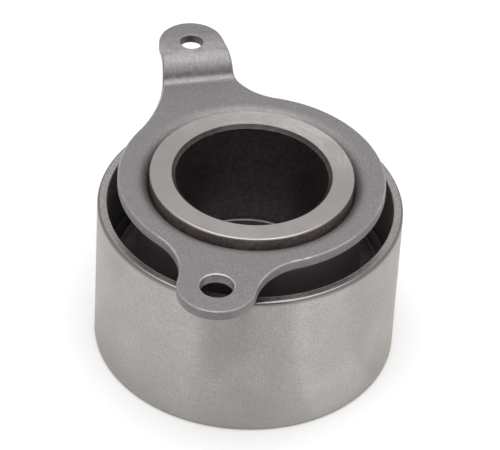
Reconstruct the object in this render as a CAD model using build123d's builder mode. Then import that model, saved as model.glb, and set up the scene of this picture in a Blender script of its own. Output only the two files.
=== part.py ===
# Tensioner pulley for a timing belt. A plain belt face runs on a sealed ball bearing with two
# rows of balls. The bearing's hub carries a stamped plate with a bolt ear and a raised spring ear.
# The origin is the middle of the belt face on the pulley's axis, and +Z points to the plate.
# The bolt ear lies along -Y. Lengths are in millimetres and angles in degrees.
import os
from math import cos, pi, radians, sin, sqrt, tan

from build123d import *

# Belt face and skirt
belt_face_diameter = 60.0
belt_face_width = 33.0
skirt_wall = 1.9
skirt_edge_round = 0.6
skirt_root_round = 0.8
edge_break = 0.15

# Bearing
bearing_width = 17.4
race_wall = 3.0
ball_diameter = 5.5
balls_per_row = 14
row_spacing = 5.9
race_clearance = 0.05
groove_conformity = 0.52
land_offset = 1.8

# Hub
spigot_wall = 5.0
counterbore_depth = 23.65
ledge_width = 0.55
counterbore_chamfer = 0.7
bore_chamfer = 0.5
shoulder_width = 2.4
hub_recess = 0.3
spigot_proud = 0.9
spigot_edge_round = 0.4

# Mounting plate
plate_thickness = 2.2
plate_standoff = 4.2
plate_land = 6.2
plate_edge_round = 0.4
collar_drop = 2.1
collar_roll = 3.4
collar_root_round = 0.4
collar_clearance = 0.02

# Bolt ear
bolt_ear_angle = 270.0
bolt_ear_overhang = 7.15
bolt_ear_radius = 7.65
bolt_ear_bridge = 12.5
bolt_hole_diameter = 6.4

# Spring ear
spring_ear_angle = 119.5
spring_ear_overhang = 13.75
spring_ear_radius = 6.55
spring_ear_inner_bridge = 12.0
spring_ear_outer_bridge = 31.0
spring_hole_diameter = 4.3
spring_hole_chamfer = 0.5
joggle_angle = 113.2
joggle_rise = 4.0
joggle_slope = 64.0
joggle_upper_round = 2.4
joggle_lower_round = 1.7
joggle_to_hole_rim = 0.1

# Seals
seal_thickness = 1.2
seal_inset = 0.7
seal_bead = 0.8
seal_bead_cover = 0.4
seal_fit = 0.02
lip_clearance = 0.05
lip_width = 0.8
seal_channel_depth = 0.3
seal_channel_round = 0.12
insert_thickness = 0.45
insert_edge = 0.55
insert_fit = 0.02

# Ball cages
cage_side_clearance = 0.4
cage_seal_clearance = 0.4
pocket_clearance = 0.12
prong_reach = 1.3
prong_width = 1.3
prong_gap_floor = 0.9

# Radii worked out from the belt face inwards
belt_radius = belt_face_diameter / 2
skirt_radius = belt_radius - skirt_wall
ball_radius = ball_diameter / 2
groove_radius = groove_conformity * ball_diameter
outer_groove_floor = belt_radius - race_wall
pitch_radius = outer_groove_floor - race_clearance - ball_radius
inner_groove_floor = pitch_radius - ball_radius - race_clearance
outer_land_radius = pitch_radius + land_offset
hub_radius = pitch_radius - land_offset
spigot_radius = hub_radius - shoulder_width
counterbore_radius = spigot_radius - spigot_wall
bore_radius = counterbore_radius - ledge_width
seal_groove_radius = outer_land_radius + seal_bead
disc_radius = spigot_radius + plate_land

# Heights worked out from the middle of the belt face
rim_top = belt_face_width / 2
rim_bottom = -rim_top
bearing_top = rim_bottom + bearing_width
bearing_middle = (rim_bottom + bearing_top) / 2
plate_bottom = rim_top + plate_standoff
plate_top = plate_bottom + plate_thickness
shoulder_top = plate_bottom - collar_drop
hub_top = plate_top + spigot_proud
hub_bottom = rim_bottom + hub_recess
ledge_height = hub_top - counterbore_depth
rows = {"upper": 1, "lower": -1}

# Ears
bolt_ear_reach = disc_radius + bolt_ear_overhang
spring_ear_reach = disc_radius + spring_ear_overhang
to_inner_bridge = disc_radius + spring_ear_inner_bridge
spring_flank_start = sqrt(to_inner_bridge**2 - (spring_ear_radius + spring_ear_inner_bridge) ** 2)


def section(inner, outer, start, end, mode=Mode.ADD):
    """Rectangle in a half section, between two radii and between two heights in either order."""
    with Locations(((inner + outer) / 2, (start + end) / 2)):
        Rectangle(outer - inner, abs(end - start), mode=mode)


def circles_at(part, radius, height):
    """Circular edges of a turned part with this radius, at this height."""
    edges = part.edges().filter_by(GeomType.CIRCLE)
    edges = edges.filter_by(lambda edge: abs(edge.radius - radius) < 0.001)
    return edges.filter_by(lambda edge: abs(edge.arc_center.Z - height) < 0.001)


os.makedirs("parts", exist_ok=True)

# Outer ring: belt face, thin skirt, two raceways and two seal grooves in one turned piece
with BuildPart() as outer_ring:
    with BuildSketch(Plane.XZ):
        section(outer_land_radius, belt_radius, rim_bottom, rim_top)
        section(outer_land_radius, skirt_radius, bearing_top, rim_top, Mode.SUBTRACT)
        for side in rows.values():
            row_height = bearing_middle + side * row_spacing / 2
            face = bearing_middle + side * bearing_width / 2
            seal_out = face - side * seal_inset
            seal_in = seal_out - side * seal_thickness
            mouth_radius = seal_groove_radius - seal_bead_cover
            with Locations((outer_groove_floor - groove_radius, row_height)):
                Circle(groove_radius, mode=Mode.SUBTRACT)
            section(outer_land_radius, seal_groove_radius, seal_in, seal_out, Mode.SUBTRACT)
            section(outer_land_radius, mouth_radius, seal_out, face, Mode.SUBTRACT)
    revolve(axis=Axis.Z)
    fillet(circles_at(outer_ring, belt_radius, rim_top), skirt_edge_round)
    fillet(circles_at(outer_ring, belt_radius, rim_bottom), skirt_edge_round)
    fillet(circles_at(outer_ring, skirt_radius, bearing_top), skirt_root_round)
    chamfer(circles_at(outer_ring, skirt_radius, rim_top), edge_break)
outer_ring.part.label = "outer_ring"
export_step(outer_ring.part, "parts/outer_ring.step")

# Hub: the bearing's inner ring, with a stepped bore and a spigot that holds the plate
with BuildPart() as inner_ring:
    with BuildSketch(Plane.XZ):
        section(bore_radius, hub_radius, hub_bottom, shoulder_top)
        section(bore_radius, spigot_radius, shoulder_top, hub_top)
        section(bore_radius, counterbore_radius, ledge_height, hub_top, Mode.SUBTRACT)
        for side in rows.values():
            row_height = bearing_middle + side * row_spacing / 2
            with Locations((inner_groove_floor + groove_radius, row_height)):
                Circle(groove_radius, mode=Mode.SUBTRACT)
    revolve(axis=Axis.Z)
    chamfer(circles_at(inner_ring, counterbore_radius, hub_top), counterbore_chamfer)
    chamfer(circles_at(inner_ring, bore_radius, hub_bottom), bore_chamfer)
    chamfer(circles_at(inner_ring, bore_radius, ledge_height), edge_break)
    fillet(circles_at(inner_ring, spigot_radius, hub_top), spigot_edge_round)
    chamfer(circles_at(inner_ring, hub_radius, hub_bottom), bore_chamfer)
inner_ring.part.label = "inner_ring"
export_step(inner_ring.part, "parts/inner_ring.step")


def ear_plane(angle):
    """Plane at the plate's underside whose x axis points along an ear."""
    along = (cos(radians(angle)), sin(radians(angle)), 0)
    return Plane(origin=(0, 0, plate_bottom), x_dir=along, z_dir=(0, 0, 1))


def bridge(reach, ear_radius, bridge_radius, side):
    """Web between disc and ear that ends in a hollow arc, tangent to both."""
    to_disc = disc_radius + bridge_radius
    to_ear = ear_radius + bridge_radius
    along = (to_disc**2 - to_ear**2 + reach**2) / (2 * reach)
    arc_centre = Vector(along, side * sqrt(to_disc**2 - along**2))
    ear_centre = Vector(reach, 0)
    disc_point = arc_centre.normalized() * disc_radius
    ear_point = ear_centre + (arc_centre - ear_centre).normalized() * ear_radius
    inward = (disc_point - arc_centre).normalized() + (ear_point - arc_centre).normalized()
    middle_point = arc_centre + inward.normalized() * bridge_radius
    with BuildSketch() as web:
        with BuildLine():
            Polyline(ear_point, ear_centre, (0, 0), disc_point)
            ThreePointArc(disc_point, middle_point, ear_point)
        make_face()
    return web.sketch


# The raised ear's bends, along the line that they cross, at the middle of the sheet
upper_bend_radius = joggle_upper_round + plate_thickness / 2
lower_bend_radius = joggle_lower_round + plate_thickness / 2
upper_setback = upper_bend_radius * tan(radians(joggle_slope / 2))
hole_along = spring_ear_reach * cos(radians(spring_ear_angle - joggle_angle))
hole_rim = spring_hole_diameter / 2 + max(plate_edge_round, spring_hole_chamfer)
upper_bend = hole_along - hole_rim - joggle_to_hole_rim - upper_setback
lower_bend = upper_bend - joggle_rise / tan(radians(joggle_slope))
sheet_middle = plate_bottom + plate_thickness / 2
sheet_end = spring_ear_reach + 2 * spring_ear_radius
joggle_direction = Vector(cos(radians(joggle_angle)), sin(radians(joggle_angle)), 0)
joggle_plane = Plane(origin=(0, 0, 0), x_dir=joggle_direction, z_dir=joggle_direction.cross(Vector(0, 0, 1)))

# Mounting plate: one stamped sheet with two ears, a joggle and a collar drawn down at the bore
with BuildPart() as mounting_plate:
    blank_height = joggle_rise + plate_thickness
    with BuildSketch(Plane.XY.offset(plate_bottom)):
        Circle(disc_radius)
    with BuildSketch(ear_plane(bolt_ear_angle)):
        with Locations((bolt_ear_reach, 0)):
            Circle(bolt_ear_radius)
        add(bridge(bolt_ear_reach, bolt_ear_radius, bolt_ear_bridge, 1))
        add(bridge(bolt_ear_reach, bolt_ear_radius, bolt_ear_bridge, -1))
    with BuildSketch(ear_plane(spring_ear_angle)):
        with Locations((spring_ear_reach, 0)):
            Circle(spring_ear_radius)
        with Locations((spring_flank_start, 0)):
            Rectangle(spring_ear_reach - spring_flank_start, spring_ear_radius, align=(Align.MIN, Align.MAX))
        add(bridge(spring_ear_reach, spring_ear_radius, spring_ear_outer_bridge, 1))
        add(bridge(spring_flank_start, spring_ear_radius, spring_ear_inner_bridge, -1))
    extrude(amount=blank_height)
    with BuildSketch(joggle_plane):
        with BuildLine():
            FilletPolyline(
                (-sheet_end, sheet_middle),
                (lower_bend, sheet_middle),
                (upper_bend, sheet_middle + joggle_rise),
                (sheet_end, sheet_middle + joggle_rise),
                radius=[lower_bend_radius, upper_bend_radius],
            )
        trace(line_width=plate_thickness)
    extrude(amount=sheet_end, both=True, mode=Mode.INTERSECT)
    with BuildSketch(ear_plane(bolt_ear_angle)):
        with Locations((bolt_ear_reach, 0)):
            Circle(bolt_hole_diameter / 2)
    extrude(amount=blank_height, mode=Mode.SUBTRACT)
    walls = mounting_plate.faces().filter_by(lambda face: abs(face.normal_at().Z) < 0.001)
    fillet(walls.edges().filter_by(Axis.Z, reverse=True), plate_edge_round)
    with BuildSketch(ear_plane(spring_ear_angle)):
        with Locations((spring_ear_reach, 0)):
            Circle(spring_hole_diameter / 2)
    extrude(amount=blank_height, mode=Mode.SUBTRACT)
    fillet(circles_at(mounting_plate, spring_hole_diameter / 2, plate_top + joggle_rise), plate_edge_round)
    chamfer(circles_at(mounting_plate, spring_hole_diameter / 2, plate_bottom + joggle_rise), spring_hole_chamfer)
    with BuildSketch(Plane.XY.offset(shoulder_top)):
        Circle(hub_radius)
    extrude(amount=collar_drop)
    with BuildSketch(Plane.XY.offset(shoulder_top)):
        Circle(spigot_radius + collar_clearance)
    extrude(amount=collar_drop + plate_thickness, mode=Mode.SUBTRACT)
    fillet(circles_at(mounting_plate, spigot_radius + collar_clearance, plate_top), collar_roll)
    fillet(circles_at(mounting_plate, hub_radius, plate_bottom), collar_root_round)
mounting_plate.part.label = "mounting_plate"
export_step(mounting_plate.part, "parts/mounting_plate.step")


# Seals: a rubber ring that snaps into the outer ring, with a shallow channel round its open face
insert_inner = hub_radius + lip_clearance + lip_width
insert_outer = outer_land_radius - insert_edge
for row, side in rows.items():
    seal_out = bearing_middle + side * (bearing_width / 2 - seal_inset)
    seal_in = seal_out - side * seal_thickness
    pocket_floor = seal_in + side * insert_thickness
    channel_floor = seal_out - side * seal_channel_depth
    with BuildPart() as seal:
        with BuildSketch(Plane.XZ):
            section(hub_radius + lip_clearance, seal_groove_radius - seal_fit, seal_in, seal_out)
            section(insert_inner, insert_outer, seal_in, pocket_floor, Mode.SUBTRACT)
            section(insert_inner, insert_outer, channel_floor, seal_out, Mode.SUBTRACT)
        revolve(axis=Axis.Z)
        fillet(circles_at(seal, insert_inner, seal_out), seal_channel_round)
        fillet(circles_at(seal, insert_outer, seal_out), seal_channel_round)
    seal.part.label = f"{row}_seal"
    export_step(seal.part, f"parts/{row}_seal.step")

# Seal inserts: a steel washer set flush into each seal's inner face
for row, side in rows.items():
    seal_in = bearing_middle + side * (bearing_width / 2 - seal_inset - seal_thickness)
    pocket_floor = seal_in + side * insert_thickness
    with BuildPart() as seal_insert:
        with BuildSketch(Plane.XZ):
            section(insert_inner + insert_fit, insert_outer - insert_fit, seal_in, pocket_floor)
        revolve(axis=Axis.Z)
    seal_insert.part.label = f"{row}_seal_insert"
    export_step(seal_insert.part, f"parts/{row}_seal_insert.step")

# Ball cages: a moulded crown whose round pockets open between prongs, towards the other row
cage_inner = hub_radius + cage_side_clearance
cage_outer = outer_land_radius - cage_side_clearance
cage_back = bearing_width / 2 - seal_inset - seal_thickness - cage_seal_clearance
pocket_radius = ball_radius + pocket_clearance
ball_angle = 360 / balls_per_row
prong_gap = 2 * pi * pitch_radius / balls_per_row - 2 * (pocket_radius + prong_width)
for row, side in rows.items():
    row_height = bearing_middle + side * row_spacing / 2
    tips = row_height - side * prong_reach
    with BuildPart(Plane.XY.offset(row_height)) as cage:
        with BuildSketch(Plane.XZ):
            section(cage_inner, cage_outer, tips, bearing_middle + side * cage_back)
        revolve(axis=Axis.Z)
        with PolarLocations(pitch_radius, balls_per_row):
            Sphere(pocket_radius, mode=Mode.SUBTRACT)
        with BuildSketch(Plane.XY.offset(tips)):
            with PolarLocations(pitch_radius, balls_per_row, start_angle=ball_angle / 2):
                Rectangle(2 * land_offset, prong_gap)
        extrude(amount=side * (prong_reach + prong_gap_floor), mode=Mode.SUBTRACT)
    cage.part.label = f"{row}_cage"
    export_step(cage.part, f"parts/{row}_cage.step")

# Balls: each row starts on the +X axis, in the middle of its cage's pockets
for row, side in rows.items():
    row_height = bearing_middle + side * row_spacing / 2
    for index in range(balls_per_row):
        angle = radians(index * ball_angle)
        centre = (pitch_radius * cos(angle), pitch_radius * sin(angle), row_height)
        with BuildPart() as ball:
            with Locations(centre):
                Sphere(ball_radius)
        ball.part.label = f"{row}_ball_{index + 1:02d}"
        export_step(ball.part, f"parts/{row}_ball_{index + 1:02d}.step")
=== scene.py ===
# Looks of the tensioner pulley: a ground belt face, a hardened hub with a ground face, a tumbled
# mounting plate, rubber seals with steel inserts, nylon cages and polished balls, in a pale studio.
# Lengths are in metres, and angles in radians, unless a name says otherwise.
import math
from functools import cached_property

import bmesh
import bpy
from bpy.props import FloatProperty, FloatVectorProperty, PointerProperty
from mathutils import Matrix, Vector


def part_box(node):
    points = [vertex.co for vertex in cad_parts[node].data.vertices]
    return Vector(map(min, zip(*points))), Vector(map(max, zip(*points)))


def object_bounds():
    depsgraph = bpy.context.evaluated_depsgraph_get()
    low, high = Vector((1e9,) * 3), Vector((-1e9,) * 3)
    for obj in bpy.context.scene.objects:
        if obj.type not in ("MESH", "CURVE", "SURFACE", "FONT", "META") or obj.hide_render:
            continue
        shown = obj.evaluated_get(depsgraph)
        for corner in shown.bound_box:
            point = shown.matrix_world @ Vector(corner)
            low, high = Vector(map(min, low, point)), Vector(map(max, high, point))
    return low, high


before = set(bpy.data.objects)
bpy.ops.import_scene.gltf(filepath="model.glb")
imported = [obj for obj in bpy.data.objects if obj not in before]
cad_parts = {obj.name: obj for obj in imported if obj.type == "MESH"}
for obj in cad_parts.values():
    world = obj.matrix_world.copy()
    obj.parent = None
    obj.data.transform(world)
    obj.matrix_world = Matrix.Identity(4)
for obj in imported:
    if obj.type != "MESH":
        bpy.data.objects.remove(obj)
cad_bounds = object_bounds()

bl_info = {
    "name": "Tensioner Pulley Looks",
    "version": (1, 0, 0),
    "blender": (4, 5, 0),
    "location": "View3D > Sidebar > Pulley",
    "description": "Finishes and studio for the tensioner pulley",
    "category": "Material",
}


def bearing(degrees, length=1.0):
    """Point this far from the Z axis, at this angle from +X."""
    return (length * math.cos(math.radians(degrees)), length * math.sin(math.radians(degrees)), 0)


MM = 0.001
WHITE = (1.0, 1.0, 1.0, 1.0)
PAPER = (0.8, 0.8, 0.8, 1.0)

# Places of a Mix node's two inputs and of its output, for colours and for vectors.
MIX_SOCKETS = {"RGBA": (6, 7, 2), "VECTOR": (4, 5, 1)}

# Half the width of the border between two finishes.
SOFT = 0.0002
SHARP = 0.0001
SHARPEST = 0.00005

# Depth of a surface's relief.
TURNED_DEPTH = 0.000002
TUMBLED_DEPTH = 0.00001
RUBBER_DEPTH = 0.000006
NYLON_DEPTH = 0.000005

# A pair is a slope: where a change starts, and where it ends. This one is of how level a surface
# lies, from 0 on a wall to 1 on a flat.
ROUND_TO_FLAT = (0.95, 0.995)

# Outer ring.
EDGE_TINT = (0.92, 0.91, 0.89, 1.0)  # of what the steel mirrors at a grazing angle
BELT_ROUND = 0.0006                  # radius of the rounds at the belt face's two edges
BELT_FINISH_WIDTH = 0.0016           # how far the belt face's finish reaches in over the rim
RIM_WIDTH = 0.0021                   # how far the rim's finish reaches in, past its inner edge
SKIRT_SHADE_TOP = 0.0017                  # height below which the skirt's inner wall is painted dark, as painted shade deep in the recess
BELT_FOOT_SHADE_TOP = -0.004                    # height from which a painted shade darkens the belt face towards its foot
EDGE_SHADE_HEIGHTS = (0.0154, 0.0159)        # heights of a painted shade line under the belt face's upper edge

# Hub.
SPIGOT_RADIUS = 0.02
SPIGOT_ROUND = 0.0004                # radius of the round at the spigot's top
FLAT_START = 0.01575                 # radius where the chamfer has surely given way to the flat
BORE_MOUTH = 0.01572                 # radius up to which the bore's finish covers the chamfer
TOP_DEPTH = 0.0005                   # how far down the ground top reaches
FOOT_DEPTH = 0.0004                  # how far up the ground foot reaches
LEDGE_DEPTH = 0.005                  # how far down a flat in the bore is surely its ledge
BRIGHTENED_DIRECTION = bearing(78)       # towards the side of the face whose colour is brightened
BRIGHTENED_SPAN = (0.004, 0.019)              # distances that way over which the brightening grows

# Mounting plate. The three zones of the joggle each start over one slope and end over another, by
# the distance along the spring ear: the bend and its brow, which get a painted highlight, and the
# slope's foot, which gets a painted shade line.
SHEET_START = 0.0238                 # radius just past the roll down to the collar
JOGGLE_DEGREES = 113.2
JOGGLE_DIRECTION = bearing(JOGGLE_DEGREES)
ACROSS_DIRECTION = bearing(JOGGLE_DEGREES - 90)
BEND = ((0.0305, 0.0310), (0.0405, 0.0425))
SLOPE_FOOT_SHADE_BAND = ((0.0322, 0.0326), (0.0327, 0.0331))
BROW = ((0.0345, 0.0375), (0.0378, 0.0405))
STREAK_WIDTH, STREAK_LENGTH = 0.55 * MM, 0.8 * MM
SPRING_HOLE = bearing(119.5, 0.03995)
SPRING_HOLE_SHADE_EDGE = (0.0022, 0.0025)  # distances from the hole's middle, just outside its wall, over which its painted shade fades

# Studio.
FLOOR_FADE = (0.1, 1.2)              # distances over which the floor's glow grows
CARD_START = 1.04                    # where the cards start, in belt face radii
CARD_LIFT = 0.0002                   # of the cards above the floor
CARD_FADE = (0.0, 0.1)               # heights between the glow of a card's foot and of its rise
FLOOR_SIDES = 96
CARD_STEPS_UP, CARD_STEPS_ROUND = 8, 24
SENSOR_MM = 36.0


class Graph:
    """Adds nodes to one node tree. An input is a plain value or another node's output."""

    def __init__(self, tree):
        self.tree = tree

    def feed(self, socket, value):
        if isinstance(value, bpy.types.NodeSocket):
            self.tree.links.new(value, socket)
        else:
            socket.default_value = value

    def node(self, kind, inputs=(), **settings):
        made = self.tree.nodes.new(kind)
        for name, value in settings.items():
            setattr(made, name, value)
        for name, value in dict(inputs).items():
            self.feed(made.inputs[name], value)
        return made

    def operate(self, kind, operation, values):
        made = self.node(kind, operation=operation)
        for socket, value in zip(made.inputs, values):
            self.feed(socket, value)
        return made.outputs

    def math(self, operation, *values):
        return self.operate("ShaderNodeMath", operation, values)[0]

    def times(self, first, *others):
        """Product of masks or values."""
        for other in others:
            first = self.math("MULTIPLY", first, other)
        return first

    def inverted(self, mask):
        return self.math("SUBTRACT", 1.0, mask)

    def vector(self, operation, *values):
        return self.operate("ShaderNodeVectorMath", operation, values)["Vector"]

    def measure(self, operation, *values):
        """The number that a vector operation gives, such as a length."""
        return self.operate("ShaderNodeVectorMath", operation, values)["Value"]

    def scaled(self, vector, factor):
        inputs = {"Vector": vector, "Scale": factor}
        return self.node("ShaderNodeVectorMath", inputs, operation="SCALE").outputs["Vector"]

    def flat(self, vector):
        """The vector without its height."""
        return self.vector("MULTIPLY", vector, (1, 1, 0))

    def axis(self, vector, name):
        return self.node("ShaderNodeSeparateXYZ", {"Vector": vector}).outputs[name]

    def step(self, value, low, high, start=0.0, end=1.0):
        """Smooth change from start to end as the value goes from low to high."""
        made = self.node(
            "ShaderNodeMapRange",
            {"Value": value, "From Min": low, "From Max": high, "To Min": start, "To Max": end},
            interpolation_type="SMOOTHSTEP",
        )
        return made.outputs[0]

    def between(self, mask, start, end):
        """Smooth change from start to end as the mask goes from 0 to 1."""
        return self.step(mask, 0.0, 1.0, start, end)

    def fall(self, value, low, high):
        """Smooth change from 1 to 0 as the value goes from low to high."""
        return self.step(value, low, high, 1.0, 0.0)

    def band(self, value, rise, fall):
        """Mask of a zone that the value enters over one slope and leaves over another."""
        return self.times(self.step(value, *rise), self.fall(value, *fall))

    def noise(self, place, scale, detail=2.0, roughness=0.5, w=None):
        made = self.node(
            "ShaderNodeTexNoise",
            {"Vector": place, "Scale": scale, "Detail": detail, "Roughness": roughness},
            noise_dimensions="3D" if w is None else "4D",
        )
        if w is not None:
            self.feed(made.inputs["W"], w)
        return made.outputs[0]

    def mix(self, factor, first, second, kind="RGBA"):
        made = self.node("ShaderNodeMix", data_type=kind)
        first_socket, second_socket, result = MIX_SOCKETS[kind]
        self.feed(made.inputs[0], factor)
        self.feed(made.inputs[first_socket], first)
        self.feed(made.inputs[second_socket], second)
        return made.outputs[result]

    def layer(self, below, above, *masks):
        """The colour above laid over the one below, as strong as the product of the masks."""
        return self.mix(self.times(*masks), below, above)

    def group(self, group, inputs):
        return self.node("ShaderNodeGroup", inputs, node_tree=group)


def new_group(name, inputs, outputs):
    """Shader node group with named sockets, given as {name: kind}.

    Returns the group, its graph, the outputs of its inlet and the inputs of its outlet.
    """
    group = bpy.data.node_groups.new(name, "ShaderNodeTree")
    for direction, sockets in (("INPUT", inputs), ("OUTPUT", outputs)):
        for socket, kind in sockets.items():
            group.interface.new_socket(socket, in_out=direction, socket_type="NodeSocket" + kind)
    graph = Graph(group)
    inlet = graph.node("NodeGroupInput").outputs
    outlet = graph.node("NodeGroupOutput").inputs
    return group, graph, inlet, outlet


def turning_marks_group():
    """Lines that run round the Z axis: rings on a flat face, hoops on a round wall."""
    group, graph, inlet, outlet = new_group(
        "Turning marks",
        {"Place": "Vector", "Spacing mm": "Float", "Wander": "Float"},
        {"Marks": "Float"},
    )
    millimetres = graph.scaled(inlet["Place"], 1 / MM)
    flat = graph.flat(millimetres)
    around = graph.vector("NORMALIZE", flat)
    lines = graph.node(
        "ShaderNodeCombineXYZ",
        {
            "X": graph.math("DIVIDE", graph.measure("LENGTH", flat), inlet["Spacing mm"]),
            "Y": graph.times(graph.axis(around, "X"), inlet["Wander"]),
            "Z": graph.times(graph.axis(around, "Y"), inlet["Wander"]),
        },
    ).outputs[0]
    height = graph.math("DIVIDE", graph.axis(millimetres, "Z"), inlet["Spacing mm"])
    noise = graph.noise(lines, 1.0, 3.0, 0.6, w=height)
    graph.feed(outlet["Marks"], graph.step(noise, 0.3, 0.7))
    return group


def grain_group():
    """Even grain of one size, such as blasted or tumbled metal or moulded rubber."""
    group, graph, inlet, outlet = new_group(
        "Grain", {"Place": "Vector", "Size mm": "Float", "Detail": "Float"}, {"Grain": "Float"}
    )
    scale = graph.math("DIVIDE", 1 / MM, inlet["Size mm"])
    noise = graph.noise(inlet["Place"], scale, inlet["Detail"], 0.6)
    graph.feed(outlet["Grain"], graph.step(noise, 0.28, 0.72))
    return group


def speck_group():
    """Small scattered specks. Share is how many of the cells hold one."""
    group, graph, inlet, outlet = new_group(
        "Specks", {"Place": "Vector", "Size mm": "Float", "Share": "Float"}, {"Specks": "Float"}
    )
    scale = graph.math("DIVIDE", 1 / MM, inlet["Size mm"])
    cells = graph.node("ShaderNodeTexVoronoi", {"Vector": inlet["Place"], "Scale": scale}).outputs
    chance = graph.node("ShaderNodeSeparateColor", {"Color": cells["Color"]}).outputs["Red"]
    held = graph.math("LESS_THAN", chance, inlet["Share"])
    graph.feed(outlet["Specks"], graph.times(held, graph.fall(cells["Distance"], 0.18, 0.34)))
    return group


def edge_wear_and_highlight_group():
    """Mask of the rounded edges between flat faces and upright walls, broken up by noise: worn
    edges that also get a painted highlight.
    """
    group, graph, inlet, outlet = new_group(
        "Edge wear", {"Place": "Vector", "Normal": "Vector", "Wear": "Float"}, {"Edge": "Float"}
    )
    level = graph.math("ABSOLUTE", graph.axis(inlet["Normal"], "Z"))
    round_edge = graph.band(level, (0.4, 0.75), ROUND_TO_FLAT)
    fine = graph.step(graph.noise(inlet["Place"], 900.0, 3.0, 0.65), 0.25, 0.6, 0.4, 1.0)
    broad = graph.step(graph.noise(inlet["Place"], 110.0, 2.0, 0.5), 0.38, 0.6, 0.3, 1.0)
    graph.feed(outlet["Edge"], graph.times(round_edge, fine, broad, inlet["Wear"]))
    return group


def smudge_group():
    """Slow changes of sheen, such as oil film and handling leave."""
    group, graph, inlet, outlet = new_group(
        "Smudges", {"Place": "Vector", "Size mm": "Float"}, {"Smudge": "Float"}
    )
    scale = graph.math("DIVIDE", 1 / MM, inlet["Size mm"])
    broad = graph.noise(inlet["Place"], scale, 3.0, 0.55)
    graph.feed(outlet["Smudge"], graph.step(broad, 0.32, 0.68))
    return group


def turned_corner_group():
    """Exact normal of a wall, a flat and the round between them, turned about the Z axis.

    Radius and height are of the round's centre. The height counts upwards and downwards alike.
    """
    group, graph, inlet, outlet = new_group(
        "Turned corner",
        {
            "Place": "Vector",
            "Radius": "Float",
            "Height": "Float",
            "Normal": "Vector",
            "Mask": "Float",
        },
        {"Normal": "Vector"},
    )
    flat = graph.flat(inlet["Place"])
    height = graph.axis(inlet["Place"], "Z")
    beyond = graph.math("SUBTRACT", graph.measure("LENGTH", flat), inlet["Radius"])
    above = graph.math("SUBTRACT", graph.math("ABSOLUTE", height), inlet["Height"])
    outward = graph.scaled(graph.vector("NORMALIZE", flat), graph.math("MAXIMUM", beyond, 0.0))
    upward = graph.times(graph.math("MAXIMUM", above, 0.0), graph.math("SIGN", height))
    upward = graph.node("ShaderNodeCombineXYZ", {"Z": upward}).outputs[0]
    exact = graph.vector("NORMALIZE", graph.vector("ADD", outward, upward))
    normal = graph.mix(inlet["Mask"], inlet["Normal"], exact, "VECTOR")
    graph.feed(outlet["Normal"], normal)
    return group


SHARED_GROUPS = {
    "Turning marks": turning_marks_group,
    "Grain": grain_group,
    "Specks": speck_group,
    "Edge wear": edge_wear_and_highlight_group,
    "Smudges": smudge_group,
    "Turned corner": turned_corner_group,
}


def shared(name):
    """The shader node group of this name, built the first time that it is asked for."""
    return bpy.data.node_groups.get(name) or SHARED_GROUPS[name]()


class Finish:
    """A new material with its graph, its Principled shader, and the surface's place and normal.

    Constants are set on the shader's own sockets, with spaces in their names as underscores.
    """

    def __init__(self, name, metallic, **constants):
        self.material = bpy.data.materials.new(name)
        self.material.use_nodes = True
        self.graph = Graph(self.material.node_tree)
        self.shader = self.material.node_tree.nodes["Principled BSDF"]
        self.shader.inputs["Metallic"].default_value = metallic
        for socket, value in constants.items():
            self.shader.inputs[socket.replace("_", " ")].default_value = value
        coordinates = self.graph.node("ShaderNodeTexCoord").outputs
        self.place = coordinates["Object"]
        self.normal = coordinates["Normal"]
        self.exact_normal = None

    @cached_property
    def height(self):
        return self.graph.axis(self.place, "Z")

    @cached_property
    def radius(self):
        """Distance from the Z axis."""
        return self.graph.measure("LENGTH", self.graph.flat(self.place))

    def level(self):
        """0 on a wall, 1 on a flat."""
        return self.graph.math("ABSOLUTE", self.graph.axis(self.normal, "Z"))

    def effect(self, name, output, **inputs):
        """One output of a shared group, with spaces in input names written as underscores."""
        named = {socket.replace("_", " "): value for socket, value in inputs.items()}
        return self.graph.group(shared(name), {"Place": self.place, **named}).outputs[output]

    def marks(self, spacing_mm, wander):
        return self.effect("Turning marks", "Marks", Spacing_mm=spacing_mm, Wander=wander)

    def grain(self, size_mm, detail=2.0):
        return self.effect("Grain", "Grain", Size_mm=size_mm, Detail=detail)

    def specks(self, size_mm, share):
        return self.effect("Specks", "Specks", Size_mm=size_mm, Share=share)

    def edges(self, wear_and_highlight):
        return self.effect("Edge wear", "Edge", Normal=self.normal, Wear=wear_and_highlight)

    def smudges(self, size_mm):
        return self.effect("Smudges", "Smudge", Size_mm=size_mm)

    def outside(self, radius, border=SOFT):
        """Mask of what lies further from the axis than this radius."""
        return self.graph.step(self.radius, radius - border, radius + border)

    def above(self, height, border=SOFT):
        return self.graph.step(self.height, height - border, height + border)

    def towards(self, direction):
        """Distance from the axis in this direction."""
        return self.graph.measure("DOT_PRODUCT", self.place, direction)

    def turned_corner(self, radius, height, mask):
        """From here on, the exact normal where the mask is 1, about a round with this centre."""
        self.normal = self.effect(
            "Turned corner", "Normal", Normal=self.normal, Radius=radius, Height=height, Mask=mask
        )
        # A shader takes its normal in world space, so it stays right when the piece is posed.
        to_world = self.graph.node(
            "ShaderNodeVectorTransform",
            {"Vector": self.normal},
            vector_type="NORMAL",
            convert_from="OBJECT",
            convert_to="WORLD",
        )
        self.exact_normal = to_world.outputs[0]

    def finish(self, colour, roughness, relief=None, depth=None, metallic=None):
        self.graph.feed(self.shader.inputs["Base Color"], colour)
        self.graph.feed(self.shader.inputs["Roughness"], roughness)
        if metallic is not None:
            self.graph.feed(self.shader.inputs["Metallic"], metallic)
        if relief is not None:
            bump = self.graph.node("ShaderNodeBump", {"Height": relief, "Distance": depth})
            if self.exact_normal:
                self.graph.feed(bump.inputs["Normal"], self.exact_normal)
            self.graph.feed(self.shader.inputs["Normal"], bump.outputs[0])
        return self.material


def shade(colour, factor=1.0):
    """The same colour, lighter or darker, with an alpha of 1."""
    return (*(channel * factor for channel in colour[:3]), 1.0)


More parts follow.
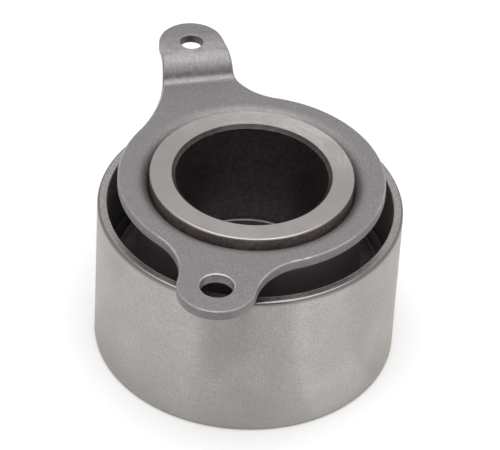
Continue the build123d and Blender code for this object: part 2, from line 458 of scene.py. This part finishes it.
def turned_relief(graph, marks, grain):
    """Height of a turned and hardened surface."""
    return graph.math("ADD", graph.times(marks, 0.3), graph.times(grain, 0.7))


def dress(names, material):
    """Gives CAD nodes this material in all their slots."""
    for name in names:
        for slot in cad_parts[name].material_slots:
            slot.material = material


def nodes_named(*parts):
    """CAD nodes whose name holds all of these words."""
    return [name for name in sorted(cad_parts) if all(part in name for part in parts)]


class PulleyFinish(bpy.types.PropertyGroup):
    """Colours of the pulley's surfaces, and how bright the plate's worn edges with their painted
    highlight are.
    """

    belt_colour: FloatVectorProperty(
        name="Belt face", description="Ground steel of the belt face",
        default=(0.393, 0.372, 0.356), subtype="COLOR", min=0, max=1,
    )
    rim_colour: FloatVectorProperty(
        name="Rim", description="Turned steel of the pulley's two rims",
        default=(0.415, 0.393, 0.386), subtype="COLOR", min=0, max=1,
    )
    skirt_colour: FloatVectorProperty(
        name="Skirt inside", description="Unground steel inside the pulley's skirt",
        default=(0.26, 0.234, 0.227), subtype="COLOR", min=0, max=1,
    )
    face_colour: FloatVectorProperty(
        name="Hub face", description="Ground steel of the hub's ends",
        default=(0.297, 0.2795, 0.2695), subtype="COLOR", min=0, max=1,
    )
    wall_colour: FloatVectorProperty(
        name="Hub wall", description="Hardened steel round the hub, under a brown film",
        default=(0.26, 0.207, 0.202), subtype="COLOR", min=0, max=1,
    )
    # Lighter and cooler than the hub wall: painted light where plate and seal leave the hub in
    # shade.
    lit_under_colour: FloatVectorProperty(
        name="Hub under plate", description="Hardened steel of the hub between plate and seal",
        default=(0.27, 0.232, 0.252), subtype="COLOR", min=0, max=1,
    )
    bore_colour: FloatVectorProperty(
        name="Hub bore", description="Hardened, unground steel of the hub's bore",
        default=(0.056, 0.046, 0.048), subtype="COLOR", min=0, max=1,
    )
    rust_colour: FloatVectorProperty(
        name="Hub stains", description="Brown of the heat treatment, as spots and on the chamfer",
        default=(0.075, 0.045, 0.036), subtype="COLOR", min=0, max=1,
    )
    plate_colour: FloatVectorProperty(
        name="Plate", description="Tumbled steel of the mounting plate",
        default=(0.2083, 0.1962, 0.198), subtype="COLOR", min=0, max=1,
    )
    seal_colour: FloatVectorProperty(
        name="Seal", description="Nitrile rubber of the seals",
        default=(0.079, 0.072, 0.077), subtype="COLOR", min=0, max=1,
    )
    insert_colour: FloatVectorProperty(
        name="Seal insert", description="Pressed steel inside the seals",
        default=(0.42, 0.41, 0.40), subtype="COLOR", min=0, max=1,
    )
    cage_colour: FloatVectorProperty(
        name="Cage", description="Nylon of the ball cages",
        default=(0.62, 0.55, 0.40), subtype="COLOR", min=0, max=1,
    )
    ball_colour: FloatVectorProperty(
        name="Ball", description="Polished bearing steel",
        default=(0.62, 0.61, 0.60), subtype="COLOR", min=0, max=1,
    )
    # Brightness of the plate's worn edges, partly a painted highlight.
    wear_and_highlight: FloatProperty(
        name="Wear", description="How bright the plate's edges are rubbed",
        default=0.7, min=0, max=1, subtype="FACTOR",
    )
    mark_spacing: FloatProperty(
        name="Mark spacing", description="Distance between two turning marks",
        default=0.00009, min=0.00001, max=0.001, unit="LENGTH", precision=5,
    )


class PulleyStudio(bpy.types.PropertyGroup):
    """Camera, light, floor and cards."""

    azimuth: FloatProperty(
        name="Azimuth", description="Turn of the camera round the pulley, from looking along +Y",
        default=math.radians(9.3), unit="ROTATION",
    )
    elevation: FloatProperty(
        name="Elevation", description="Angle of the camera above the floor",
        default=math.radians(39.692), unit="ROTATION",
    )
    roll: FloatProperty(
        name="Roll", description="Tilt of the camera about its own line of sight",
        default=math.radians(3.324), unit="ROTATION",
    )
    distance: FloatProperty(
        name="Distance", description="From the camera to the point that it looks at",
        default=0.70, unit="LENGTH",
    )
    aim_right: FloatProperty(
        name="Aim to the right", description="That point's place, right of the frame's origin",
        default=0.000154, unit="LENGTH", precision=6,
    )
    aim_up: FloatProperty(
        name="Aim upwards", description="That point's place, above the frame's origin in view",
        default=0.00831, unit="LENGTH", precision=6,
    )
    focal_length: FloatProperty(
        name="Focal length", description="Lens of the camera", default=253.48, unit="CAMERA",
    )
    softbox_size: FloatProperty(
        name="Softbox size", description="Side of the square softbox over the pulley",
        default=0.92, unit="LENGTH",
    )
    softbox_distance: FloatProperty(
        name="Softbox distance", description="From the softbox to the pulley",
        default=0.80, unit="LENGTH",
    )
    softbox_elevation: FloatProperty(
        name="Softbox elevation", description="Its angle above the floor, from behind the pulley",
        default=math.radians(95), unit="ROTATION",
    )
    softbox_brightness: FloatProperty(
        name="Softbox brightness", description="How bright the softbox looks, where white is 1",
        default=2.3, min=0,
    )
    ambient: FloatProperty(
        name="Ambient light", description="Light of the room on matt surfaces, where white is 1",
        default=0.5, min=0,
    )
    floor_radius: FloatProperty(
        name="Floor radius", description="Radius of the round pale floor",
        default=6.0, unit="LENGTH",
    )
    floor_lift: FloatProperty(
        name="Floor lift", description="Glow that keeps the floor white in view, near the pulley",
        default=0.25, min=0,
    )
    floor_lift_far: FloatProperty(
        name="Far floor lift", description="The same glow far off, past the softbox's light",
        default=0.62, min=0,
    )
    card_distance: FloatProperty(
        name="Card distance", description="From the pulley to where the cards rise",
        default=1.6, unit="LENGTH",
    )
    card_turn: FloatProperty(
        name="Dark card turn", description="Turn of the dark card's middle from the camera",
        default=math.radians(2.5), unit="ROTATION",
    )
    card_width: FloatProperty(
        name="Dark card width", description="Angle that the dark card spans round the pulley",
        default=math.radians(54), unit="ROTATION",
    )
    card_rise: FloatProperty(
        name="Dark card rise", description="Angle through which the dark card curves up",
        default=math.radians(32), unit="ROTATION",
    )
    card_brightness: FloatProperty(
        name="Dark card brightness", description="Of its upright part, where white is 1",
        default=0.2, min=0,
    )
    card_foot_brightness: FloatProperty(
        name="Dark card foot brightness", description="Of its part on the floor, where white is 1",
        default=0.95, min=0,
    )
    light_card_turn: FloatProperty(
        name="Light card turn", description="Turn of the light card's middle from the camera",
        default=math.radians(47), unit="ROTATION",
    )
    light_card_width: FloatProperty(
        name="Light card width", description="Angle that the light card spans round the pulley",
        default=math.radians(32), unit="ROTATION",
    )
    light_card_rise: FloatProperty(
        name="Light card rise", description="Angle through which the light card curves up",
        default=0.1, unit="ROTATION",
    )
    light_card_brightness: FloatProperty(
        name="Light card brightness", description="Of the whole light card, where white is 1",
        default=1.27, min=0,
    )


class PULLEY_OT_stage(bpy.types.Operator):
    """Make the room, the floor, the softbox, the two cards that only mirrors show and the camera"""

    bl_idname = "pulley.stage"
    bl_label = "Studio"

    def execute(self, context):
        studio = context.scene.pulley_studio
        self.make_world(context.scene, studio)
        self.make_floor(studio)
        self.make_softbox(studio)
        self.make_card(
            "studio_dark_card", studio, studio.card_turn, studio.card_width, studio.card_rise,
            (studio.card_foot_brightness, studio.card_brightness),
        )
        self.make_card(
            "studio_light_card", studio, studio.light_card_turn, studio.light_card_width,
            studio.light_card_rise, (studio.light_card_brightness, studio.light_card_brightness),
        )
        self.make_camera(context.scene, studio)
        context.scene.view_settings.view_transform = "Standard"
        return {"FINISHED"}

    @staticmethod
    def direct_view(graph):
        """1 for rays that see the plain white background: from the camera, a mirror or glass."""
        path = graph.node("ShaderNodeLightPath").outputs
        seen = graph.math("MAXIMUM", path["Is Camera Ray"], path["Is Glossy Ray"])
        return graph.math("MAXIMUM", seen, path["Is Transmission Ray"])

    @staticmethod
    def bare_material(name):
        """New material without a shader. Returns it, its graph and the socket of its surface."""
        material = bpy.data.materials.new(name)
        material.use_nodes = True
        nodes = material.node_tree.nodes
        nodes.remove(nodes["Principled BSDF"])
        return material, Graph(material.node_tree), nodes["Material Output"].inputs["Surface"]

    @staticmethod
    def make_object(name, form, material):
        """New object from a bmesh, which is freed."""
        mesh = bpy.data.meshes.new(name)
        form.to_mesh(mesh)
        form.free()
        mesh.materials.append(material)
        made = bpy.data.objects.new(name, mesh)
        bpy.context.scene.collection.objects.link(made)
        return made

    def make_world(self, scene, studio):
        world = bpy.data.worlds.new("Studio")
        world.use_nodes = True
        graph = Graph(world.node_tree)
        background = world.node_tree.nodes["Background"]
        strength = graph.between(self.direct_view(graph), studio.ambient, 1.0)
        graph.feed(background.inputs["Color"], WHITE)
        graph.feed(background.inputs["Strength"], strength)
        scene.world = world

    def make_floor(self, studio):
        material, graph, surface = self.bare_material("Pale floor")
        paper = graph.node("ShaderNodeBsdfDiffuse", {"Color": PAPER})
        place = graph.node("ShaderNodeTexCoord").outputs["Object"]
        away = graph.measure("LENGTH", place)
        lift = graph.step(away, *FLOOR_FADE, studio.floor_lift, studio.floor_lift_far)
        lift = graph.times(self.direct_view(graph), lift)
        glow = graph.node("ShaderNodeEmission", {"Color": WHITE, "Strength": lift})
        both = graph.node("ShaderNodeAddShader")
        graph.feed(both.inputs[0], paper.outputs[0])
        graph.feed(both.inputs[1], glow.outputs[0])
        graph.feed(surface, both.outputs[0])
        form = bmesh.new()
        bmesh.ops.create_circle(
            form, cap_ends=True, radius=studio.floor_radius, segments=FLOOR_SIDES
        )
        bmesh.ops.translate(form, verts=form.verts, vec=(0, 0, cad_bounds[0].z))
        floor = self.make_object("studio_floor", form, material)

    def make_softbox(self, studio):
        lamp = bpy.data.lights.new("Softbox", "AREA")
        lamp.shape = "SQUARE"
        lamp.size = studio.softbox_size
        lamp.energy = studio.softbox_brightness * math.pi * studio.softbox_size**2
        softbox = bpy.data.objects.new("Softbox", lamp)
        bpy.context.scene.collection.objects.link(softbox)
        elevation = studio.softbox_elevation
        towards = Vector((0, math.cos(elevation), math.sin(elevation)))
        towards.rotate(Matrix.Rotation(studio.azimuth, 3, "Z"))
        softbox.location = towards * studio.softbox_distance
        softbox.rotation_euler = towards.to_track_quat("Z", "Y").to_euler()
        softbox.visible_camera = False

    def make_card(self, name, studio, turn, width, rise, brightness):
        """Glowing card that only mirrors show, on the floor and curving up at its far end.

        Brightness holds the glow of its foot and the glow of its upright part.
        """
        material, graph, surface = self.bare_material(name)
        place = graph.node("ShaderNodeTexCoord").outputs["Object"]
        strength = graph.step(graph.axis(place, "Z"), *CARD_FADE, *brightness)
        glow = graph.node("ShaderNodeEmission", {"Color": WHITE, "Strength": strength})
        graph.feed(surface, glow.outputs[0])
        form = bmesh.new()
        level = cad_bounds[0].z + CARD_LIFT
        foot = form.verts.new((0, -CARD_START * cad_bounds[1].x, level))
        corner = form.verts.new((0, -studio.card_distance, level))
        form.edges.new((foot, corner))
        bmesh.ops.spin(
            form, geom=[corner], cent=(0, 0, level), axis=(-1, 0, 0), angle=rise,
            steps=CARD_STEPS_UP,
        )
        start = Matrix.Rotation(studio.azimuth + turn - width / 2, 3, "Z")
        bmesh.ops.rotate(form, verts=form.verts, matrix=start)
        profile = form.verts[:] + form.edges[:]
        bmesh.ops.spin(
            form, geom=profile, cent=(0, 0, 0), axis=(0, 0, 1), angle=width,
            steps=CARD_STEPS_ROUND,
        )
        card = self.make_object(name, form, material)
        card.visible_camera = False
        card.visible_diffuse = False
        card.visible_transmission = False
        card.visible_shadow = False

    def make_camera(self, scene, studio):
        forward = Vector((0, math.cos(studio.elevation), -math.sin(studio.elevation)))
        right = Vector((1, 0, 0))
        turn = Matrix.Rotation(studio.azimuth, 3, "Z")
        forward.rotate(turn)
        right.rotate(turn)
        up = right.cross(forward)
        aim = right * studio.aim_right + up * studio.aim_up
        across = right * math.cos(studio.roll) + up * math.sin(studio.roll)
        upright = up * math.cos(studio.roll) - right * math.sin(studio.roll)
        lens = bpy.data.cameras.new("Camera")
        lens.sensor_width = SENSOR_MM
        lens.lens = studio.focal_length
        camera = bpy.data.objects.new("Camera", lens)
        scene.collection.objects.link(camera)
        camera.matrix_world = (
            Matrix.Translation(aim - forward * studio.distance)
            @ Matrix((across, upright, -forward)).transposed().to_4x4()
        )
        scene.camera = camera


class PULLEY_OT_outer_ring(bpy.types.Operator):
    """Finish the outer ring: ground belt face, turned rims, darker steel inside the skirt, and
    painted shade deep in the skirt, at the belt face's foot and along its edges
    """

    bl_idname = "pulley.outer_ring"
    bl_label = "Outer ring"

    def execute(self, context):
        look = context.scene.pulley_finish
        belt_tone, rim_tone, skirt_tone = look.belt_colour, look.rim_colour, look.skirt_colour
        ring = Finish(
            "Ground ring steel", 1.0,
            Anisotropic=0.93, Anisotropic_Rotation=0.25, Specular_Tint=EDGE_TINT,
        )
        graph = ring.graph
        belt_radius = cad_bounds[1].x
        rim_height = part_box("outer_ring")[1].z
        belt_start = belt_radius - BELT_FINISH_WIDTH
        ring.turned_corner(
            belt_radius - BELT_ROUND, rim_height - BELT_ROUND, ring.outside(belt_start, SHARP)
        )
        marks = ring.marks(look.mark_spacing / MM, 1.5)
        smudge = ring.smudges(9.0)
        grain = ring.grain(0.5, 3.0)
        speckle = ring.grain(0.26, 3.0)

        outer = ring.outside(belt_start)
        level = ring.level()
        rim = graph.times(graph.step(level, 0.75, 0.95), ring.outside(belt_radius - RIM_WIDTH))
        upright = graph.fall(level, 0.3, 0.5)
        round_edge = graph.times(graph.band(level, (0.1, 0.3), ROUND_TO_FLAT), outer)
        belt_foot_shade = graph.step(ring.height, cad_bounds[0].z, BELT_FOOT_SHADE_TOP, 0.5, 0.0)
        edge_shade_line = graph.step(ring.height, *EDGE_SHADE_HEIGHTS, 0.0, 0.6)

        belt = graph.layer(shade(belt_tone), shade(belt_tone, 0.93), marks, 0.25)
        belt = graph.layer(belt, shade(belt_tone, 0.8), 0.8)
        belt = graph.layer(belt, shade(belt_tone, 1.3), speckle)
        belt = graph.layer(belt, shade(belt_tone, 0.92), smudge, 0.3)
        turned = graph.layer(shade(rim_tone, 0.9), shade(rim_tone, 1.1), marks)
        turned = graph.layer(turned, shade(rim_tone, 0.62), speckle)
        inside = graph.layer(shade(skirt_tone, 0.8), shade(skirt_tone, 1.2), grain)
        # Painted shade: the skirt's inner wall dark deep in the recess.
        inside = graph.layer(shade(skirt_tone, 0.3), inside, ring.above(SKIRT_SHADE_TOP))

        colour = graph.layer(inside, belt, outer)
        colour = graph.layer(colour, turned, rim)
        # Painted shade: the belt face darker towards its foot, standing in for the shadowed floor
        # near the pulley that it mirrors.
        colour = graph.layer(colour, shade(belt_tone, 0.8), belt_foot_shade, outer)
        # Painted shade: a dark line under the belt face's upper edge.
        colour = graph.layer(colour, shade(belt_tone, 0.35), edge_shade_line, upright, outer)
        # Painted shade on the belt face's rounded edges, which dims their reflection and darkens
        # them at the sides.
        colour = graph.layer(colour, shade(belt_tone, 0.45), round_edge)
        roughness = graph.between(smudge, 0.38, 0.43)
        roughness = graph.math("SUBTRACT", roughness, graph.times(rim, 0.17))
        roughness = graph.math("SUBTRACT", roughness, graph.times(round_edge, 0.22))
        metallic = graph.between(outer, 0.6, 1.0)
        relief = turned_relief(graph, marks, grain)
        dress(["outer_ring"], ring.finish(colour, roughness, relief, TURNED_DEPTH, metallic))
        return {"FINISHED"}


class PULLEY_OT_hub(bpy.types.Operator):
    """Finish the hub: ground end faces, and hardened walls and bore under a dark film"""

    bl_idname = "pulley.hub"
    bl_label = "Hub"

    def execute(self, context):
        look = context.scene.pulley_finish
        face_tone, wall_tone, bore_tone = look.face_colour, look.wall_colour, look.bore_colour
        hub = Finish("Hardened hub steel", 1.0, Anisotropic=0.2, Anisotropic_Rotation=0.25)
        graph = hub.graph
        foot_height, top_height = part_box("inner_ring")[0].z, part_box("inner_ring")[1].z
        above_seat = hub.above(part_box("mounting_plate")[0].z)
        hub.turned_corner(
            SPIGOT_RADIUS - SPIGOT_ROUND, top_height - SPIGOT_ROUND,
            graph.times(hub.outside(FLAT_START, SHARPEST), above_seat),
        )
        marks = hub.marks(look.mark_spacing / MM * 1.4, 2.0)
        smudge = hub.smudges(7.0)
        grain = hub.grain(0.5, 3.0)

        flat = graph.step(hub.level(), 0.12, 0.3)
        top = hub.above(top_height - TOP_DEPTH)
        above_foot = hub.above(foot_height + FOOT_DEPTH)
        ends = graph.math("MAXIMUM", top, graph.inverted(above_foot))
        outside_bore = hub.outside(BORE_MOUTH, SHARPEST)
        ground = graph.times(flat, ends, outside_bore)
        by_ledge = graph.math("SUBTRACT", above_foot, hub.above(top_height - LEDGE_DEPTH))
        edges = graph.times(hub.edges(1.0), outside_bore)
        uneven = graph.between(smudge, 0.6, 1.0)
        brightened = graph.times(graph.step(hub.towards(BRIGHTENED_DIRECTION), *BRIGHTENED_SPAN), uneven)
        scuffs = graph.times(brightened, graph.step(hub.marks(0.35, 6.0), 0.45, 0.9))

        face = graph.layer(shade(face_tone), shade(face_tone, 0.94), marks, 0.3)
        face = graph.layer(face, shade(face_tone, 1.12), grain, 0.4)
        # The face is lighter towards one side, and scuffed there.
        face = graph.layer(face, shade(face_tone, 1.4), brightened)
        face = graph.layer(face, shade(face_tone, 1.8), scuffs, 0.7)
        wall = graph.layer(shade(wall_tone, 0.75), shade(wall_tone, 1.1), smudge)
        wall = graph.layer(wall, shade(wall_tone, 0.55), hub.grain(0.9, 4.0))
        wall = graph.layer(wall, shade(look.rust_colour), hub.specks(0.9, 0.2), 0.5)
        # Under the plate the wall takes a lighter colour, as painted light in the shaded recess.
        wall = graph.layer(shade(look.lit_under_colour), wall, above_seat)
        bore = graph.layer(shade(bore_tone, 0.6), shade(bore_tone, 1.4), hub.grain(0.8, 4.0))
        bore = graph.layer(bore, shade(look.rust_colour), hub.specks(1.1, 0.25), 0.5)
        bore = graph.layer(bore, shade(face_tone, 0.7), flat, by_ledge)
        bore = graph.layer(bore, shade(look.rust_colour, 0.45), flat, top, 0.5)

        colour = graph.layer(bore, wall, outside_bore)
        colour = graph.layer(colour, face, ground)
        # The rounded edges brightened: worn steel, and a painted highlight.
        colour = graph.layer(colour, shade(face_tone, 1.05), edges)
        roughness = graph.between(smudge, 0.34, 0.42)
        roughness = graph.math("SUBTRACT", roughness, graph.times(edges, 0.16))
        metallic = graph.between(ground, 0.6, 1.0)
        relief = turned_relief(graph, marks, grain)
        dress(["inner_ring"], hub.finish(colour, roughness, relief, TURNED_DEPTH, metallic))
        return {"FINISHED"}


class PULLEY_OT_plate(bpy.types.Operator):
    """Finish the mounting plate: tumbled grey steel with worn edges, specks and a drawn joggle,
    with painted highlights on edges, bend and brow, and painted shade at the slope's foot and round
    the spring hole
    """

    bl_idname = "pulley.plate"
    bl_label = "Mounting plate"

    def execute(self, context):
        look = context.scene.pulley_finish
        tone = look.plate_colour
        plate = Finish("Tumbled plate steel", 0.6)
        graph = plate.graph
        grain = plate.grain(0.3, 3.0)
        mottle = plate.grain(2.6, 3.0)

        along = plate.towards(JOGGLE_DIRECTION)
        across = plate.towards(ACROSS_DIRECTION)
        bend = graph.band(along, *BEND)
        slope_foot_shade = graph.times(graph.band(along, *SLOPE_FOOT_SHADE_BAND), plate.grain(1.6, 3.0))
        brow = graph.times(graph.band(along, *BROW), mottle)
        stretched = graph.node(
            "ShaderNodeCombineXYZ",
            {
                "X": graph.math("DIVIDE", across, STREAK_WIDTH),
                "Y": graph.math("DIVIDE", along, STREAK_LENGTH),
            },
        ).outputs[0]
        streaks = graph.step(graph.noise(stretched, 1.0, 3.0, 0.6), 0.35, 0.65)
        flat_sheet = graph.times(plate.outside(SHEET_START), graph.inverted(bend))
        edges = graph.times(plate.edges(look.wear_and_highlight), flat_sheet)
        from_hole = graph.measure("DISTANCE", graph.flat(plate.place), SPRING_HOLE)

        colour = graph.layer(shade(tone, 0.76), shade(tone, 1.14), grain)
        colour = graph.layer(colour, shade(tone, 0.88), mottle, 0.35)
        colour = graph.layer(colour, shade(tone, 0.6), plate.specks(0.75, 0.14), 0.4)
        colour = graph.layer(colour, shade(tone, 1.6), plate.specks(0.6, 0.2), 0.35)
        # The rounded edges brightened: worn steel, and a painted highlight.
        colour = graph.layer(colour, shade(tone, 2.8), edges, 0.8)
        # Painted shade: a dark line in the crease at the foot of the joggle's slope.
        colour = graph.layer(colour, shade(tone, 0.32), slope_foot_shade, 0.9)
        # Painted highlight on the joggle's bend.
        colour = graph.layer(colour, shade(tone, 1.9), bend, 0.3)
        colour = graph.layer(colour, shade(tone, 0.72), streaks, bend, 0.42)
        # Painted highlight on the joggle's brow.
        colour = graph.layer(colour, shade(tone, 1.9), brow)
        # Painted shade round the spring hole.
        colour = graph.layer(colour, shade(tone, 0.5), graph.fall(from_hole, *SPRING_HOLE_SHADE_EDGE))
        colour = graph.layer(colour, shade(tone, 1.9), plate.specks(0.4, 0.05), 0.8)
        roughness = graph.between(mottle, 0.44, 0.52)
        roughness = graph.math("SUBTRACT", roughness, graph.times(edges, 0.2))
        dress(["mounting_plate"], plate.finish(colour, roughness, grain, TUMBLED_DEPTH))
        return {"FINISHED"}


class PULLEY_OT_seals(bpy.types.Operator):
    """Finish the seals and their steel inserts"""

    bl_idname = "pulley.seals"
    bl_label = "Seals"

    def execute(self, context):
        look = context.scene.pulley_finish
        rubber = Finish("Moulded seal rubber", 0.0, Specular_IOR_Level=0.25)
        graph = rubber.graph
        film = rubber.smudges(4.0)
        colour = graph.layer(shade(look.seal_colour, 0.8), shade(look.seal_colour, 1.5), film)
        roughness = graph.between(film, 0.6, 0.75)
        rubber_material = rubber.finish(colour, roughness, rubber.grain(0.25), RUBBER_DEPTH)
        steel = Finish("Pressed insert steel", 1.0)
        graph = steel.graph
        grain = steel.grain(0.3)
        colour = graph.layer(shade(look.insert_colour, 0.9), shade(look.insert_colour, 1.1), grain)
        steel_material = steel.finish(colour, graph.between(grain, 0.28, 0.36))
        inserts = nodes_named("seal", "insert")
        dress([name for name in nodes_named("seal") if name not in inserts], rubber_material)
        dress(inserts, steel_material)
        return {"FINISHED"}


class PULLEY_OT_cages(bpy.types.Operator):
    """Finish the moulded nylon ball cages"""

    bl_idname = "pulley.cages"
    bl_label = "Ball cages"

    def execute(self, context):
        look = context.scene.pulley_finish
        nylon = Finish("Moulded cage nylon", 0.0, Subsurface_Weight=0.1, Subsurface_Scale=0.001)
        graph = nylon.graph
        flow = nylon.smudges(3.0)
        colour = graph.layer(shade(look.cage_colour, 0.94), shade(look.cage_colour, 1.06), flow)
        roughness = graph.between(flow, 0.38, 0.5)
        dress(nodes_named("cage"), nylon.finish(colour, roughness, nylon.grain(0.2), NYLON_DEPTH))
        return {"FINISHED"}


class PULLEY_OT_balls(bpy.types.Operator):
    """Finish the polished balls"""

    bl_idname = "pulley.balls"
    bl_label = "Balls"

    def execute(self, context):
        look = context.scene.pulley_finish
        steel = Finish("Polished ball steel", 1.0)
        graph = steel.graph
        film = steel.smudges(1.5)
        colour = graph.layer(shade(look.ball_colour, 0.96), shade(look.ball_colour, 1.03), film)
        dress(nodes_named("ball_"), steel.finish(colour, graph.between(film, 0.06, 0.12)))
        return {"FINISHED"}


class PULLEY_PT_panel(bpy.types.Panel):
    """Lists the pulley's finishes and the studio"""

    bl_idname = "PULLEY_PT_panel"
    bl_label = "Tensioner Pulley"
    bl_space_type = "VIEW_3D"
    bl_region_type = "UI"
    bl_category = "Pulley"

    def draw(self, context):
        for operator in OPERATORS:
            self.layout.operator(operator.bl_idname)
        for settings in (context.scene.pulley_finish, context.scene.pulley_studio):
            box = self.layout.box()
            for name in settings.bl_rna.properties.keys():
                if name not in ("rna_type", "name"):
                    box.prop(settings, name)


OPERATORS = (
    PULLEY_OT_stage,
    PULLEY_OT_outer_ring,
    PULLEY_OT_hub,
    PULLEY_OT_plate,
    PULLEY_OT_seals,
    PULLEY_OT_cages,
    PULLEY_OT_balls,
)
CLASSES = (PulleyFinish, PulleyStudio, *OPERATORS, PULLEY_PT_panel)


def register():
    for each in CLASSES:
        bpy.utils.register_class(each)
    bpy.types.Scene.pulley_finish = PointerProperty(type=PulleyFinish)
    bpy.types.Scene.pulley_studio = PointerProperty(type=PulleyStudio)


def unregister():
    del bpy.types.Scene.pulley_studio
    del bpy.types.Scene.pulley_finish
    for each in reversed(CLASSES):
        bpy.utils.unregister_class(each)


def main():
    register()
    bpy.ops.pulley.stage()
    bpy.ops.pulley.outer_ring()
    bpy.ops.pulley.hub()
    bpy.ops.pulley.plate()
    bpy.ops.pulley.seals()
    bpy.ops.pulley.cages()
    bpy.ops.pulley.balls()


if __name__ == "__main__":
    main()
